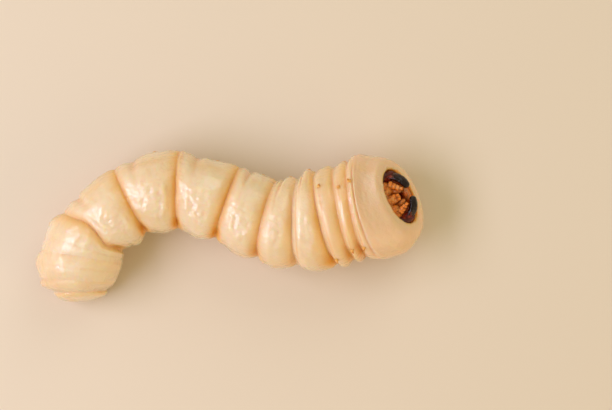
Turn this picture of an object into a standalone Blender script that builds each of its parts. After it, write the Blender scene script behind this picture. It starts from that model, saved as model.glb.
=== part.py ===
# Life-size larva of a longhorn beetle, lying on its back with the tail curled to one side.
# The model faces +X, its belly is up (+Z) and its back rests on the floor at z = 0.
# Sizes below are in millimetres; MM turns them into metres where a mesh is made.

import math
from collections import namedtuple

import bmesh
import bpy
from mathutils import Matrix, Vector

MM = 0.001
GAP = 0.3  # clear space that neighbouring pieces keep
RING_SIDES = 40  # corners of a ring round the body
MERGE_DISTANCE = 0.02  # corners closer than this become one
SMALL_TURN = 0.01  # the step, in share of a segment or in radians, that slopes of the skin are measured over
SHARP_EDGE = 50.0  # edges that turn more than this, in degrees, are drawn sharp

# The trunk, from the mouth to the tail tip
Segment = namedtuple(
    "Segment", "name length bearing facing pitch half_width half_height pinch_width pinch_height sway stations"
)
# length and bearing: the step back along the axis, and the way that it runs in plan, in degrees
# facing and pitch: the way that the furrow behind the segment faces, in plan and upwards
# pinch_width and pinch_height: size of that furrow, as shares of the lobes beside it
# sway: how far the middle of the lobe stands to the larva's right of the axis
# stations: how many rings shape the lobe
TRUNK = (
    Segment("prothorax", 2.65, 7.8, 10.4, 11.5, 3.54, 2.94, 0.953, 0.95, 0.0, 9),
    Segment("mesothorax", 0.90, 20.9, 11.8, 10.0, 3.26, 2.88, 0.98, 0.95, -0.08, 5),
    Segment("metathorax", 1.21, 14.2, 13.0, 12.0, 3.26, 2.86, 0.97, 0.90, -0.08, 5),
    Segment("abdomen_01", 1.87, 7.0, -0.7, 9.3, 3.28, 2.80, 0.917, 0.86, -0.05, 8),
    Segment("abdomen_02", 1.99, -4.7, -14.6, 7.7, 2.96, 2.68, 0.915, 0.84, -0.14, 8),
    Segment("abdomen_03", 2.79, -22.6, -19.5, 2.6, 2.70, 2.60, 0.945, 0.80, -0.16, 9),
    Segment("abdomen_04", 3.26, -14.7, -1.5, 2.8, 2.55, 2.58, 1.0, 0.82, -0.27, 10),
    Segment("abdomen_05", 3.24, 12.5, 26.6, 0.0, 2.58, 2.58, 0.92, 0.82, -0.12, 10),
    Segment("abdomen_06", 3.12, 39.4, 58.0, -2.0, 2.48, 2.50, 0.906, 0.84, -0.18, 10),
    Segment("abdomen_07", 1.74, 63.4, 80.0, 0.0, 2.62, 2.45, 1.0, 0.92, 0.0, 7),
    Segment("abdomen_08", 1.60, 79.1, 86.0, 0.0, 2.78, 2.35, 0.96, 0.90, 0.0, 7),
    Segment("abdomen_09", 0.82, 98.8, 92.0, 0.0, 2.38, 1.98, 0.87, 0.84, 0.0, 6),
    Segment("abdomen_10", 0.72, 103.0, 96.0, 0.0, 1.55, 1.20, 0.0, 0.0, 0.0, 5),
)
COLLAR_PLACE = (10.95, 1.49)  # where the axis ends, in plan
COLLAR_HEIGHT = 3.25
FLOOR_PRESS = 0.12  # how far the back of each lobe is pressed flat by the floor
THORAX_ROLL = 7.0  # the belly looks a little to the larva's left, in degrees
ABDOMEN_ROLL = 10.0
THORAX_END = 3  # the segments before this one are the thorax

# The lobe of a segment
SKEW = 1.3  # above 1, the lobe is fullest in front of its middle
PLUMP = 0.70  # below 1, the lobe has steep shoulders
FLANK_FOLD_AT = 0.3  # share of the length where a cross fold parts off a hind bump on each flank
FLANK_FOLD_WIDTH = 0.09
FLANK_FOLD_DEPTH = 0.45
SIDE_PAD_ANGLE = 100.0  # the swelling along each flank, counted from the belly
SIDE_PAD_SPREAD = 17.0
SIDE_PAD_RISE = 0.12
SIDE_GROOVE_ANGLES = (66.0, 134.0)
SIDE_GROOVE_SPREAD = 10.0
SIDE_GROOVE_DEPTH = 0.10
DOME_ROUND = 2.3  # higher makes the front of the prothorax blunter
DOME_SWELL = 0.58  # share of the prothorax over which it swells to its full width
TAIL_ROUND = 2.4
AMPULLA_SEGMENTS = range(3, 10)  # the walking pads, on the belly and back of abdomen 1 to 7
AMPULLA_MIDDLE = 0.52  # its middle, as a share of the segment's length
AMPULLA_HALF_ANGLE = 29.0
AMPULLA_HALF_LENGTH = 0.33
AMPULLA_RIDGE_AT = 0.8  # share of the half sizes where the ridge stands
AMPULLA_RIDGE_SPREAD = 0.35
AMPULLA_DIP_SPREAD = 0.4
AMPULLA_RISE = 0.13
AMPULLA_DIP = 0.08

# The collar and the socket that the head sits in
MOUTH_PLACE = (11.09, 1.96)  # middle of the mouth, in plan: the head is turned a little to the right
MOUTH_BEARING = 25.0
MOUTH_PITCH = 40.0  # how far the mouth looks up from the floor
HEAD_HALF_SIZE = (1.86, 1.34)
LIP_THICKNESS = 0.2
LIP_ROLL = 0.12
SOCKET_DEPTH = 1.9

# The head: x to the larva's right, y to its belly and z out of the mouth, from the plane of the lip
CAPSULE_DEPTH = SOCKET_DEPTH - GAP
CAPSULE_TAPER = 0.86
PLATE_LEVEL = -0.56  # the front plate that the mouthparts stand on
ROOT_LEVEL = PLATE_LEVEL + GAP
CHEEK_RISE = 0.66  # the cheeks are ridges on the plate's two sides
CHEEK_SPREAD = 34.0
CHEEK_SECTION = ((1.0, 0.75), (0.96, 1.0), (0.9, 0.92), (0.86, 0.0))  # share of the plate, share of the rise
CAPSULE_SIDES = 36
STEM_SIDES = 14
PALP_SIDES = 12
LABIUM_PALP_SIDES = 10
MANDIBLE_BASE = (1.10, 0.02, ROOT_LEVEL)
MANDIBLE_BOW = (1.24, -0.12, 0.44)
MANDIBLE_TIP = (0.30, -0.30, 0.72)
MANDIBLE_HALF_SIZE = (0.28, 0.38)
MANDIBLE_TIP_SHARE = 0.3
MANDIBLE_BLUNTNESS = 2.2  # higher keeps the mandible thick for longer
MANDIBLE_STEPS = 8
MANDIBLE_SIDES = 14
LABRUM_CENTRE = (0.0, -0.88)
LABRUM_HALF_SIZE = (0.46, 0.22)
LABRUM_TOP = 0.42
LABRUM_SECTION = ((0.0, 0.96), (0.06, 0.84), (0.28, 0.8), (0.37, 0.6), (LABRUM_TOP, 0.3))  # height, size
LABRUM_SIDES = 18
MAXILLA_CENTRE = (0.86, 0.82)
MAXILLA_HALF_SIZE = (0.31, 0.29)
MAXILLA_TOP = 0.08
MAXILLA_PALP_RADIUS = 0.20
MAXILLA_PALP_TOP = 0.62
MAXILLA_PALP_LEAN = (-0.42, -0.22)
MAXILLA_PALP_JOINTS = 4
MALA_CENTRE = (0.66, 0.72)
MALA_HALF_SIZE = (0.15, 0.16)
MALA_TOP = 0.28
LABIUM_CENTRE = (0.0, 0.98)
LABIUM_HALF_SIZE = (0.33, 0.27)
LABIUM_TOP = 0.05
LABIUM_PALP_ASIDE = 0.16
LABIUM_PALP_RADIUS = 0.14
LABIUM_PALP_TOP = 0.34
LABIUM_PALP_JOINTS = 3
PALP_TIP = 0.5  # thickness of a palp's last joint, as a share of its first
ANTENNA_CENTRE = (1.28, -0.72)
ANTENNA_RADIUS = 0.2
ANTENNA_TOP = 0.2
ANTENNA_JOINTS = 3
ANTENNA_TIP = 0.4
ROUNDED_SECTION = ((0.0, 1.0), (0.55, 1.0), (0.85, 0.8), (1.0, 0.4))  # shares of the height and of the size
JOINT_WAIST = 0.86  # how far a leg or palp narrows between its joints
PALP_SUNK = 0.1  # how deep a palp's root sits in the piece that carries it

# The legs, one pair on each thoracic segment
LEG_RADIUS = 0.27
LEG_LENGTH = 0.46
LEG_LEAN = 26.0  # towards the head
LEG_JOINTS = 4
LEG_TIP = 0.35  # thickness of the last joint, as a share of the first
LEG_SIDES = 12
# segment, share of its length, and degrees from the middle of the belly
LEG_PLACES = (("fore", 0, 0.17, 41.0), ("mid", 1, 0.5, 40.0), ("hind", 2, 0.4, 49.0))

# Colours and finish: base colour, roughness
SKIN = ("skin", (0.86, 0.72, 0.50), 0.35)
HORN_BROWN = ("horn_brown", (0.23, 0.07, 0.03), 0.25)
HORN_BLACK = ("horn_black", (0.02, 0.012, 0.01), 0.2)
HORN_AMBER = ("horn_amber", (0.55, 0.27, 0.10), 0.3)


def material(finish):
    name, colour, roughness = finish
    made = bpy.data.materials.get(name)
    if made is None:
        made = bpy.data.materials.new(name)
        made.use_nodes = True
        shader = made.node_tree.nodes["Principled BSDF"]
        shader.inputs["Base Color"].default_value = (*colour, 1.0)
        shader.inputs["Roughness"].default_value = roughness
        shader.inputs["Metallic"].default_value = 0.0
    return made


def empty(name, place):
    made = bpy.data.objects.new(name, None)
    bpy.context.scene.collection.objects.link(made)
    made.matrix_world = place
    return made


# Rings of points, back to front, become one closed skin with a flat cap at each end.
def solid_of_rings(name, rings, finish, parent=None):
    mesh = bpy.data.meshes.new(name)
    shape = bmesh.new()
    loops = [[shape.verts.new(point * MM) for point in ring] for ring in rings]
    sides = len(rings[0])
    for near, far in zip(loops, loops[1:]):
        for side in range(sides):
            after = (side + 1) % sides
            shape.faces.new((near[side], near[after], far[after], far[side]))
    shape.faces.new(loops[0])
    shape.faces.new(loops[-1])
    bmesh.ops.remove_doubles(shape, verts=shape.verts, dist=MERGE_DISTANCE * MM)
    bmesh.ops.recalc_face_normals(shape, faces=shape.faces)
    shape.to_mesh(mesh)
    shape.free()
    mesh.shade_smooth()
    mesh.set_sharp_from_angle(angle=math.radians(SHARP_EDGE))
    mesh.materials.append(material(finish))
    made = bpy.data.objects.new(name, mesh)
    bpy.context.scene.collection.objects.link(made)
    made.parent = parent
    return made


# Joins closed pieces of one node into a single closed surface.
def fused(name, pieces):
    together = bpy.data.collections.new(name + "_pieces")
    bpy.context.scene.collection.children.link(together)
    body, others = pieces[0], pieces[1:]
    for piece in others:
        bpy.context.scene.collection.objects.unlink(piece)
        together.objects.link(piece)
    join = body.modifiers.new("join", "BOOLEAN")
    join.operation = "UNION"
    join.operand_type = "COLLECTION"
    join.collection = together
    join.solver = "EXACT"
    bpy.context.view_layer.update()
    graph = bpy.context.evaluated_depsgraph_get()
    joined = bpy.data.meshes.new_from_object(body.evaluated_get(graph))
    body.modifiers.clear()
    body.data = joined
    for piece in others:
        bpy.data.objects.remove(piece)
    bpy.data.collections.remove(together)
    keep_largest_surface(joined)
    body.name = name
    return body


def keep_largest_surface(mesh):
    shape = bmesh.new()
    shape.from_mesh(mesh)
    bmesh.ops.remove_doubles(shape, verts=shape.verts, dist=MERGE_DISTANCE * MM)
    waiting = set(shape.verts)
    surfaces = []
    while waiting:
        reached = [waiting.pop()]
        surface = set(reached)
        while reached:
            for edge in reached.pop().link_edges:
                for corner in edge.verts:
                    if corner in waiting:
                        waiting.remove(corner)
                        surface.add(corner)
                        reached.append(corner)
        surfaces.append(surface)
    surfaces.sort(key=len)
    for surface in surfaces[:-1]:
        bmesh.ops.delete(shape, geom=list(surface), context="VERTS")
    shape.to_mesh(mesh)
    shape.free()


def heading(bearing, pitch=0.0):
    across, up = math.radians(bearing), math.radians(pitch)
    return Vector((math.cos(across) * math.cos(up), math.sin(across) * math.cos(up), math.sin(up)))


# The frame of a ring: centre, the way forward, the larva's right side and its belly side.
def ring_frame(centre, forward):
    forward = forward.normalized()
    right = Vector((-forward.y, forward.x, 0.0)).normalized()
    return centre, forward, right, forward.cross(right)


# Centres of the collar, of each furrow and of the tail tip, front to back.
def furrow_centres():
    place = Vector((*COLLAR_PLACE, 0.0))
    centres = [place]
    for segment in TRUNK:
        place = place - heading(segment.bearing) * segment.length
        centres.append(place)
    heights = [segment.half_height for segment in TRUNK]
    heights.append(heights[-1])
    between = [(a + b) / 2 - FLOOR_PRESS for a, b in zip(heights, heights[1:])]
    for centre, height in zip(centres, [COLLAR_HEIGHT, *between]):
        centre.z = height
    return centres


CENTRES = furrow_centres()
DIRECTIONS = [heading(MOUTH_BEARING, MOUTH_PITCH)]
DIRECTIONS += [heading(segment.facing, segment.pitch) for segment in TRUNK]


# Turns share u of a segment into the share of the way between its two end faces.
def between_faces(index, u):
    length = TRUNK[index].length
    return min(1.0, max(0.0, (u * length - GAP / 2) / (length - GAP)))


# The frame at share u of a segment, 0 at the furrow behind it and 1 at the furrow in front.
# Its centre runs on a smooth curve, and its plane turns evenly from one end face to the other.
def trunk_frame(index, u):
    rear, front = CENTRES[index + 1], CENTRES[index]
    length = TRUNK[index].length
    leave, arrive = DIRECTIONS[index + 1] * length, DIRECTIONS[index] * length
    centre = (
        rear * (2 * u**3 - 3 * u**2 + 1)
        + leave * (u**3 - 2 * u**2 + u)
        + front * (3 * u**2 - 2 * u**3)
        + arrive * (u**3 - u**2)
    )
    share = between_faces(index, u)
    frame = ring_frame(centre, DIRECTIONS[index + 1].lerp(DIRECTIONS[index], share))
    sideways = frame[2] * TRUNK[index].sway * math.sin(math.pi * share)
    return frame[0] + sideways, *frame[1:]


def furrow_half_size(index):
    ahead, behind = TRUNK[index - 1], TRUNK[index]
    return (
        ahead.pinch_width * (ahead.half_width + behind.half_width) / 2,
        ahead.pinch_height * (ahead.half_height + behind.half_height) / 2,
    )


def bell(distance, spread):
    return math.exp(-((distance / spread) ** 2))


def degrees_from_belly(index, angle):
    roll = THORAX_ROLL if index < THORAX_END else ABDOMEN_ROLL
    return abs((math.degrees(angle) + roll + 180) % 360 - 180)


# How full the lobe is at share u of its length, 0 in the furrows and 1 where it is widest.
def fullness(index, u, angle):
    full = abs(math.sin(math.pi * between_faces(index, u) ** SKEW)) ** PLUMP
    flank = math.sin(math.radians(degrees_from_belly(index, angle))) ** 3
    return full - flank * FLANK_FOLD_DEPTH * full * bell(u - FLANK_FOLD_AT, FLANK_FOLD_WIDTH)


# Pads and grooves that run along the flanks.
def flank_rise(index, angle):
    off_belly = degrees_from_belly(index, angle)
    rise = SIDE_PAD_RISE * bell(off_belly - SIDE_PAD_ANGLE, SIDE_PAD_SPREAD)
    for groove in SIDE_GROOVE_ANGLES:
        rise -= SIDE_GROOVE_DEPTH * bell(off_belly - groove, SIDE_GROOVE_SPREAD)
    return rise


# A walking pad: an oval ridge round a shallow dip, on the belly and on the back.
def ampulla_rise(index, u, angle):
    off_belly = degrees_from_belly(index, angle)
    aside = min(off_belly, 180 - off_belly) / AMPULLA_HALF_ANGLE
    along = (u - AMPULLA_MIDDLE) / AMPULLA_HALF_LENGTH
    out = math.hypot(aside, along)
    ridge = bell(out - AMPULLA_RIDGE_AT, AMPULLA_RIDGE_SPREAD)
    return AMPULLA_RISE * ridge - AMPULLA_DIP * bell(out, AMPULLA_DIP_SPREAD)


# Half width and half height of the trunk at share u of a segment, for one direction round it.
def half_size(index, u, angle):
    segment = TRUNK[index]
    if index == 0:
        rear = furrow_half_size(1)
        front = [half + GAP + LIP_THICKNESS for half in HEAD_HALF_SIZE]
        dome = math.sqrt(1 - u**DOME_ROUND)
        swell = math.sin(math.pi * min(1.0, u / DOME_SWELL) / 2) ** PLUMP
        full = (segment.half_width, segment.half_height)
        wide = [r + (f - r) * swell for r, f in zip(rear, full)]
        size = [e + (w - e) * dome for e, w in zip(front, wide)]
        rise = flank_rise(index, angle) * swell * dome
    elif index == len(TRUNK) - 1:
        front = furrow_half_size(index)
        dome = math.sqrt(1 - (1 - u) ** TAIL_ROUND)
        size = [f * dome for f in front]
        rise = 0.0
    else:
        rear, front = furrow_half_size(index + 1), furrow_half_size(index)
        base = [r + (f - r) * u for r, f in zip(rear, front)]
        full = fullness(index, u, angle)
        lobe = (segment.half_width, segment.half_height)
        size = [b + (s - b) * full for b, s in zip(base, lobe)]
        rise = flank_rise(index, angle) * full
        if index in AMPULLA_SEGMENTS:
            rise += ampulla_rise(index, u, angle) * full
    return size[0] + rise, size[1] + rise


def on_ring(frame, size, angle):
    centre, _, right, belly = frame
    point = centre + right * size[0] * math.sin(angle) + belly * size[1] * math.cos(angle)
    point.z = max(0.0, point.z)
    return point


def trunk_point(index, u, angle):
    return on_ring(trunk_frame(index, u), half_size(index, u, angle), angle)


def ring_angles():
    return [2 * math.pi * side / RING_SIDES for side in range(RING_SIDES)]


def trunk_ring(index, u):
    return [trunk_point(index, u, angle) for angle in ring_angles()]


# The flat end of a segment, half a gap from the middle of its furrow.
def end_ring(furrow, toward):
    centre = CENTRES[furrow] + DIRECTIONS[furrow] * toward * GAP / 2
    frame = ring_frame(centre, DIRECTIONS[furrow])
    size = furrow_half_size(furrow)
    return [on_ring(frame, size, angle) for angle in ring_angles()]


# Shares of a segment's length where its rings stand, closer together near the furrows.
def stations(segment):
    count = segment.stations
    edge = GAP / 2 / segment.length
    steps = [0.5 - 0.5 * math.cos(math.pi * (i + 1) / (count + 1)) for i in range(count)]
    return [edge + (1 - 2 * edge) * step for step in steps]


def make_segment(index):
    segment = TRUNK[index]
    rings = [trunk_ring(index, u) for u in stations(segment)]
    last = index == len(TRUNK) - 1
    if not last:
        rings.insert(0, end_ring(index + 1, 1))
    rings.append(end_ring(index, -1))
    return solid_of_rings(segment.name, rings, SKIN)


def mouth_frame():
    return ring_frame(Vector((*MOUTH_PLACE, COLLAR_HEIGHT)), heading(MOUTH_BEARING, MOUTH_PITCH))


def mouth_ring(grow, ahead):
    centre, forward, right, belly = mouth_frame()
    frame = (centre + forward * ahead, forward, right, belly)
    size = (HEAD_HALF_SIZE[0] + grow, HEAD_HALF_SIZE[1] + grow)
    return [on_ring(frame, size, angle) for angle in ring_angles()]


# The prothorax: a dome whose front rolls in round the head and lines its socket.
def make_prothorax():
    segment = TRUNK[0]
    rings = [end_ring(1, 1)]
    aside = mouth_frame()[0] - CENTRES[0]
    for u in stations(segment):
        shift = aside * u**4
        rings.append([point + shift for point in trunk_ring(0, u)])
    rings.append(mouth_ring(GAP + LIP_THICKNESS, 0.0))
    rings.append(mouth_ring(GAP + LIP_THICKNESS / 2, LIP_ROLL))
    rings.append(mouth_ring(GAP, 0.0))
    rings.append(mouth_ring(GAP, -SOCKET_DEPTH))
    return solid_of_rings(segment.name, rings, SKIN)


def oval(centre, half_size, z, sides):
    ring = []
    for side in range(sides):
        angle = 2 * math.pi * side / sides
        x = centre[0] + half_size[0] * math.sin(angle)
        y = centre[1] + half_size[1] * math.cos(angle)
        ring.append(Vector((x, y, z)))
    return ring


# A piece that stands on the head's plate: levels are pairs of height and share of the half size.
def upright(name, centre, half_size, levels, head, sides=PALP_SIDES, lean=(0.0, 0.0)):
    root = levels[0][0]
    rings = []
    for height, share in levels:
        middle = (centre[0] + lean[0] * (height - root), centre[1] + lean[1] * (height - root))
        size = (half_size[0] * share, half_size[1] * share)
        rings.append(oval(middle, size, height, sides))
    return solid_of_rings(name, rings, HORN_AMBER, parent=head)


def rounded_levels(root, top):
    return [(root + (top - root) * height, share) for height, share in ROUNDED_SECTION]


# A feeler, palp or leg: it tapers from root to tip and narrows a little between its joints.
def jointed_levels(root, top, joints, tip_share):
    levels = [(root, 1.0)]
    for step in range(1, 2 * joints):
        along = step / (2 * joints)
        share = 1 - (1 - tip_share) * along
        waist = JOINT_WAIST if step % 2 == 0 else 1.0
        levels.append((root + (top - root) * along, share * waist))
    levels.append((top, tip_share / 2))
    return levels


# How high the cheek stands at an angle from the belly round the head.
def cheek_rise(angle):
    return CHEEK_RISE * bell(math.degrees(math.acos(abs(math.sin(angle)))), CHEEK_SPREAD) ** 2


# The head capsule: a tapered plug with a front plate and a ridge along each side of it.
def make_capsule(head):
    rear = [half * CAPSULE_TAPER for half in HEAD_HALF_SIZE]
    rings = [oval((0.0, 0.0), rear, -CAPSULE_DEPTH, CAPSULE_SIDES)]
    for plate_share, rise_share in CHEEK_SECTION:
        ring = oval((0.0, 0.0), [half * plate_share for half in HEAD_HALF_SIZE], PLATE_LEVEL, CAPSULE_SIDES)
        for side, point in enumerate(ring):
            point.z += rise_share * cheek_rise(2 * math.pi * side / CAPSULE_SIDES)
        rings.append(ring)
    return solid_of_rings("head_capsule", rings, HORN_BROWN, parent=head)


def mirrored(point, side):
    return Vector((side * point[0], point[1], point[2]))


# A mandible bows out from its base and in again to a blunt tip.
def make_mandible(head, word, side):
    base, bow, tip = (mirrored(place, side) for place in (MANDIBLE_BASE, MANDIBLE_BOW, MANDIBLE_TIP))
    rings = []
    for step in range(MANDIBLE_STEPS + 1):
        t = step / MANDIBLE_STEPS
        middle = base * (1 - t) ** 2 + bow * 2 * t * (1 - t) + tip * t * t
        along = ((bow - base) * (1 - t) + (tip - bow) * t).normalized()
        if step == 0:
            along = Vector((0.0, 0.0, 1.0))
        across = Vector((0.0, 1.0, 0.0)).cross(along).normalized()
        edge = along.cross(across)
        share = MANDIBLE_TIP_SHARE + (1 - MANDIBLE_TIP_SHARE) * math.sqrt(1 - t**MANDIBLE_BLUNTNESS)
        ring = []
        for corner in range(MANDIBLE_SIDES):
            angle = 2 * math.pi * corner / MANDIBLE_SIDES
            aside = across * MANDIBLE_HALF_SIZE[0] * share * math.cos(angle)
            ring.append(middle + aside + edge * MANDIBLE_HALF_SIZE[1] * share * math.sin(angle))
        rings.append(ring)
    return solid_of_rings("mandible_" + word, rings, HORN_BLACK, parent=head)


def make_labrum(head):
    levels = [(ROOT_LEVEL, 1.0), *LABRUM_SECTION]
    return upright("labrum", LABRUM_CENTRE, LABRUM_HALF_SIZE, levels, head, LABRUM_SIDES)


def make_maxilla(head, word, side):
    centre = (side * MAXILLA_CENTRE[0], MAXILLA_CENTRE[1])
    lean = (side * MAXILLA_PALP_LEAN[0], MAXILLA_PALP_LEAN[1])
    palp_radii = (MAXILLA_PALP_RADIUS, MAXILLA_PALP_RADIUS)
    palp_levels = jointed_levels(ROOT_LEVEL + PALP_SUNK, MAXILLA_PALP_TOP, MAXILLA_PALP_JOINTS, PALP_TIP)
    mala_centre = (side * MALA_CENTRE[0], MALA_CENTRE[1])
    stem_levels = rounded_levels(ROOT_LEVEL, MAXILLA_TOP)
    mala_levels = rounded_levels(ROOT_LEVEL + PALP_SUNK, MALA_TOP)
    stem = upright("stem", centre, MAXILLA_HALF_SIZE, stem_levels, head, STEM_SIDES)
    palp = upright("palp", centre, palp_radii, palp_levels, head, lean=lean)
    mala = upright("mala", mala_centre, MALA_HALF_SIZE, mala_levels, head, lean=lean)
    return fused("maxilla_" + word, [stem, palp, mala])


def make_labium(head):
    stem_levels = rounded_levels(ROOT_LEVEL, LABIUM_TOP)
    stem = upright("stem", LABIUM_CENTRE, LABIUM_HALF_SIZE, stem_levels, head, STEM_SIDES)
    palps = []
    for side in (1, -1):
        place = (side * LABIUM_PALP_ASIDE, LABIUM_CENTRE[1])
        radii = (LABIUM_PALP_RADIUS, LABIUM_PALP_RADIUS)
        levels = jointed_levels(ROOT_LEVEL + PALP_SUNK, LABIUM_PALP_TOP, LABIUM_PALP_JOINTS, PALP_TIP)
        palps.append(upright("palp", place, radii, levels, head, LABIUM_PALP_SIDES))
    return fused("labium", [stem, *palps])


def make_antenna(head, word, side):
    centre = (side * ANTENNA_CENTRE[0], ANTENNA_CENTRE[1])
    levels = jointed_levels(ROOT_LEVEL, ANTENNA_TOP, ANTENNA_JOINTS, ANTENNA_TIP)
    return upright("antenna_" + word, centre, (ANTENNA_RADIUS, ANTENNA_RADIUS), levels, head)


def make_head():
    centre, forward, right, belly = mouth_frame()
    place = Matrix((right, belly, forward)).transposed().to_4x4()
    place.translation = centre * MM
    head = empty("head", place)
    make_capsule(head)
    make_labrum(head)
    make_labium(head)
    for word, side in (("right", 1), ("left", -1)):
        make_mandible(head, word, side)
        make_maxilla(head, word, side)
        make_antenna(head, word, side)


# The way out of the skin at a point of the trunk.
def outward(index, u, angle):
    along = trunk_point(index, u + SMALL_TURN, angle) - trunk_point(index, u - SMALL_TURN, angle)
    around = trunk_point(index, u, angle + SMALL_TURN) - trunk_point(index, u, angle - SMALL_TURN)
    normal = along.cross(around).normalized()
    return normal if normal.dot(trunk_point(index, u, angle) - trunk_frame(index, u)[0]) > 0 else -normal


# A leg leans towards the head, and the ring at its root keeps the gap to the skin all round.
def make_leg(word, index, u, off_belly, side_word, side):
    angle = math.radians(side * off_belly - THORAX_ROLL)
    normal = outward(index, u, angle)
    forward = trunk_frame(index, u)[1]
    across = normal.cross(forward).normalized()
    along = across.cross(normal)
    middle = trunk_point(index, u, angle) + normal * GAP
    reach = (trunk_point(index, u, angle) - trunk_frame(index, u)[0]).length
    lean = math.tan(math.radians(LEG_LEAN))
    rings = []
    for height, share in jointed_levels(0.0, LEG_LENGTH, LEG_JOINTS, LEG_TIP):
        ring = []
        radii = (LEG_RADIUS * share, LEG_RADIUS * share)
        for side_point in oval((lean * height, 0.0), radii, height, LEG_SIDES):
            ring.append(middle + along * side_point.x + across * side_point.y + normal * side_point.z)
        rings.append(ring)
    turn = across.dot(trunk_point(index, u, angle + SMALL_TURN) - trunk_point(index, u, angle))
    for number, point in enumerate(rings[0]):
        step = (point - middle).dot(along) / TRUNK[index].length
        swing = math.copysign((point - middle).dot(across) / reach, turn * (point - middle).dot(across))
        skin = trunk_point(index, u + step, angle + swing)
        rings[0][number] = skin + normal * GAP
    return solid_of_rings(f"leg_{word}_{side_word}", rings, HORN_AMBER)


def main():
    for thing in list(bpy.data.objects):
        bpy.data.objects.remove(thing)
    make_prothorax()
    for index in range(1, len(TRUNK)):
        make_segment(index)
    make_head()
    for word, index, u, off_belly in LEG_PLACES:
        for side_word, side in (("right", 1), ("left", -1)):
            make_leg(word, index, u, off_belly, side_word, side)


main()
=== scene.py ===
import math

import bmesh
import bpy
import numpy as np
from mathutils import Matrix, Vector


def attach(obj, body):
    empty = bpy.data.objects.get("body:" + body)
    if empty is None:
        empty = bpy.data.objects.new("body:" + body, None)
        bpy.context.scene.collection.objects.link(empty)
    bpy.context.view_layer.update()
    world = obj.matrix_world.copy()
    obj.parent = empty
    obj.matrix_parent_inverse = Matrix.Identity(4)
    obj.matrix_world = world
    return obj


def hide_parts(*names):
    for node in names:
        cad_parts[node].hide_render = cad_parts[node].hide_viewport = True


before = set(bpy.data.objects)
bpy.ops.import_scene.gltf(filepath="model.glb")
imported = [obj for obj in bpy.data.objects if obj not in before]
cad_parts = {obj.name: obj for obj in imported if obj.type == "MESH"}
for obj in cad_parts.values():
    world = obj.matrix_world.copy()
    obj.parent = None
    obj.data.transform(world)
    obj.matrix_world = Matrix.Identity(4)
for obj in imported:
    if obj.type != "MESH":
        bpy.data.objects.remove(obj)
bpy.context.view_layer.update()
print("frame loaded:", len(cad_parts), "solids")

mm = 0.001  # sizes below are in millimetres

# The run of the body from the mouth back to the tail, as the solids have it.
# length, bearing: step back along the axis, and its direction in plan
# facing, pitch: direction of the furrow behind the part
# half: half width and half height; furrow: size of that furrow as shares of the lobes beside it
# sway: how far the lobe's middle stands to the larva's right of the axis; fold: how sharp the furrow is
trunkKeys = ("name", "length", "bearing", "facing", "pitch", "half", "furrow", "sway", "fold")
trunkRows = [
    ("prothorax", 2.65, 7.8, 10.4, 11.5, (3.54, 2.94), (0.953, 0.95), 0.0, 0.8),
    ("mesothorax", 0.90, 20.9, 11.8, 10.0, (3.26, 2.88), (0.98, 0.95), -0.08, 0.8),
    ("metathorax", 1.21, 14.2, 13.0, 12.0, (3.26, 2.86), (0.97, 0.90), -0.08, 0.9),
    ("abdomen_01", 1.87, 7.0, -0.7, 9.3, (3.28, 2.80), (0.917, 0.86), -0.05, 0.55),
    ("abdomen_02", 1.99, -4.7, -14.6, 7.7, (2.96, 2.68), (0.915, 0.84), -0.14, 0.75),
    ("abdomen_03", 2.79, -22.6, -19.5, 2.6, (2.70, 2.60), (0.945, 0.80), -0.16, 1.0),
    ("abdomen_04", 3.26, -14.7, -1.5, 2.8, (2.55, 2.58), (1.0, 0.82), -0.27, 0.95),
    ("abdomen_05", 3.24, 12.5, 26.6, 0.0, (2.58, 2.58), (0.92, 0.82), -0.12, 0.9),
    ("abdomen_06", 3.12, 39.4, 58.0, -2.0, (2.48, 2.50), (0.906, 0.84), -0.18, 0.8),
    ("abdomen_07", 1.74, 63.4, 80.0, 0.0, (2.62, 2.45), (1.0, 0.92), 0.0, 0.15),
    ("abdomen_08", 1.60, 79.1, 86.0, 0.0, (2.78, 2.35), (0.96, 0.90), 0.0, 0.2),
    ("abdomen_09", 0.82, 98.8, 92.0, 0.0, (2.38, 1.98), (0.87, 0.84), 0.0, 0.4),
    ("abdomen_10", 0.72, 103.0, 96.0, 0.0, (1.55, 1.20), (0.0, 0.0), 0.0, 0.0),
]
trunk = [dict(zip(trunkKeys, row)) for row in trunkRows]
lastPart = len(trunk) - 1
firstAbdomen = 3  # the first part behind the thorax
firstTail = 9  # from here on the parts are plain and close together
run = {
    "collarPlace": (10.95, 1.49),
    "collarHeight": 3.25,
    "floorPress": 0.12,
    "floorSoft": 0.05,
    "gap": 0.3,  # between the end faces of the solids
    "roll": (7.0, 10.0),  # the belly looks a little to the larva's left: thorax, abdomen
    "skew": 1.3,
    "plump": 0.70,
    "domeRound": 2.3,
    "domeSwell": 0.58,
    "tailRound": 2.4,
    "tailFull": 0.3,
}
mouth = {
    "place": (11.09, 1.96, 3.25),
    "bearing": 25.0,
    "pitch": 40.0,
    "halfSize": (1.86, 1.34),
}


def heading(bearing, pitch=0.0):
    across, up = math.radians(bearing), math.radians(pitch)
    return np.array((math.cos(across) * math.cos(up), math.sin(across) * math.cos(up), math.sin(up)))


def unit(vector):
    return vector / np.linalg.norm(vector)


# Centre, way forward, the larva's right side and its belly side.
def ringFrame(centre, forward):
    forward = unit(forward)
    right = unit(np.array((-forward[1], forward[0], 0.0)))
    return centre, forward, right, np.cross(forward, right)


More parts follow.
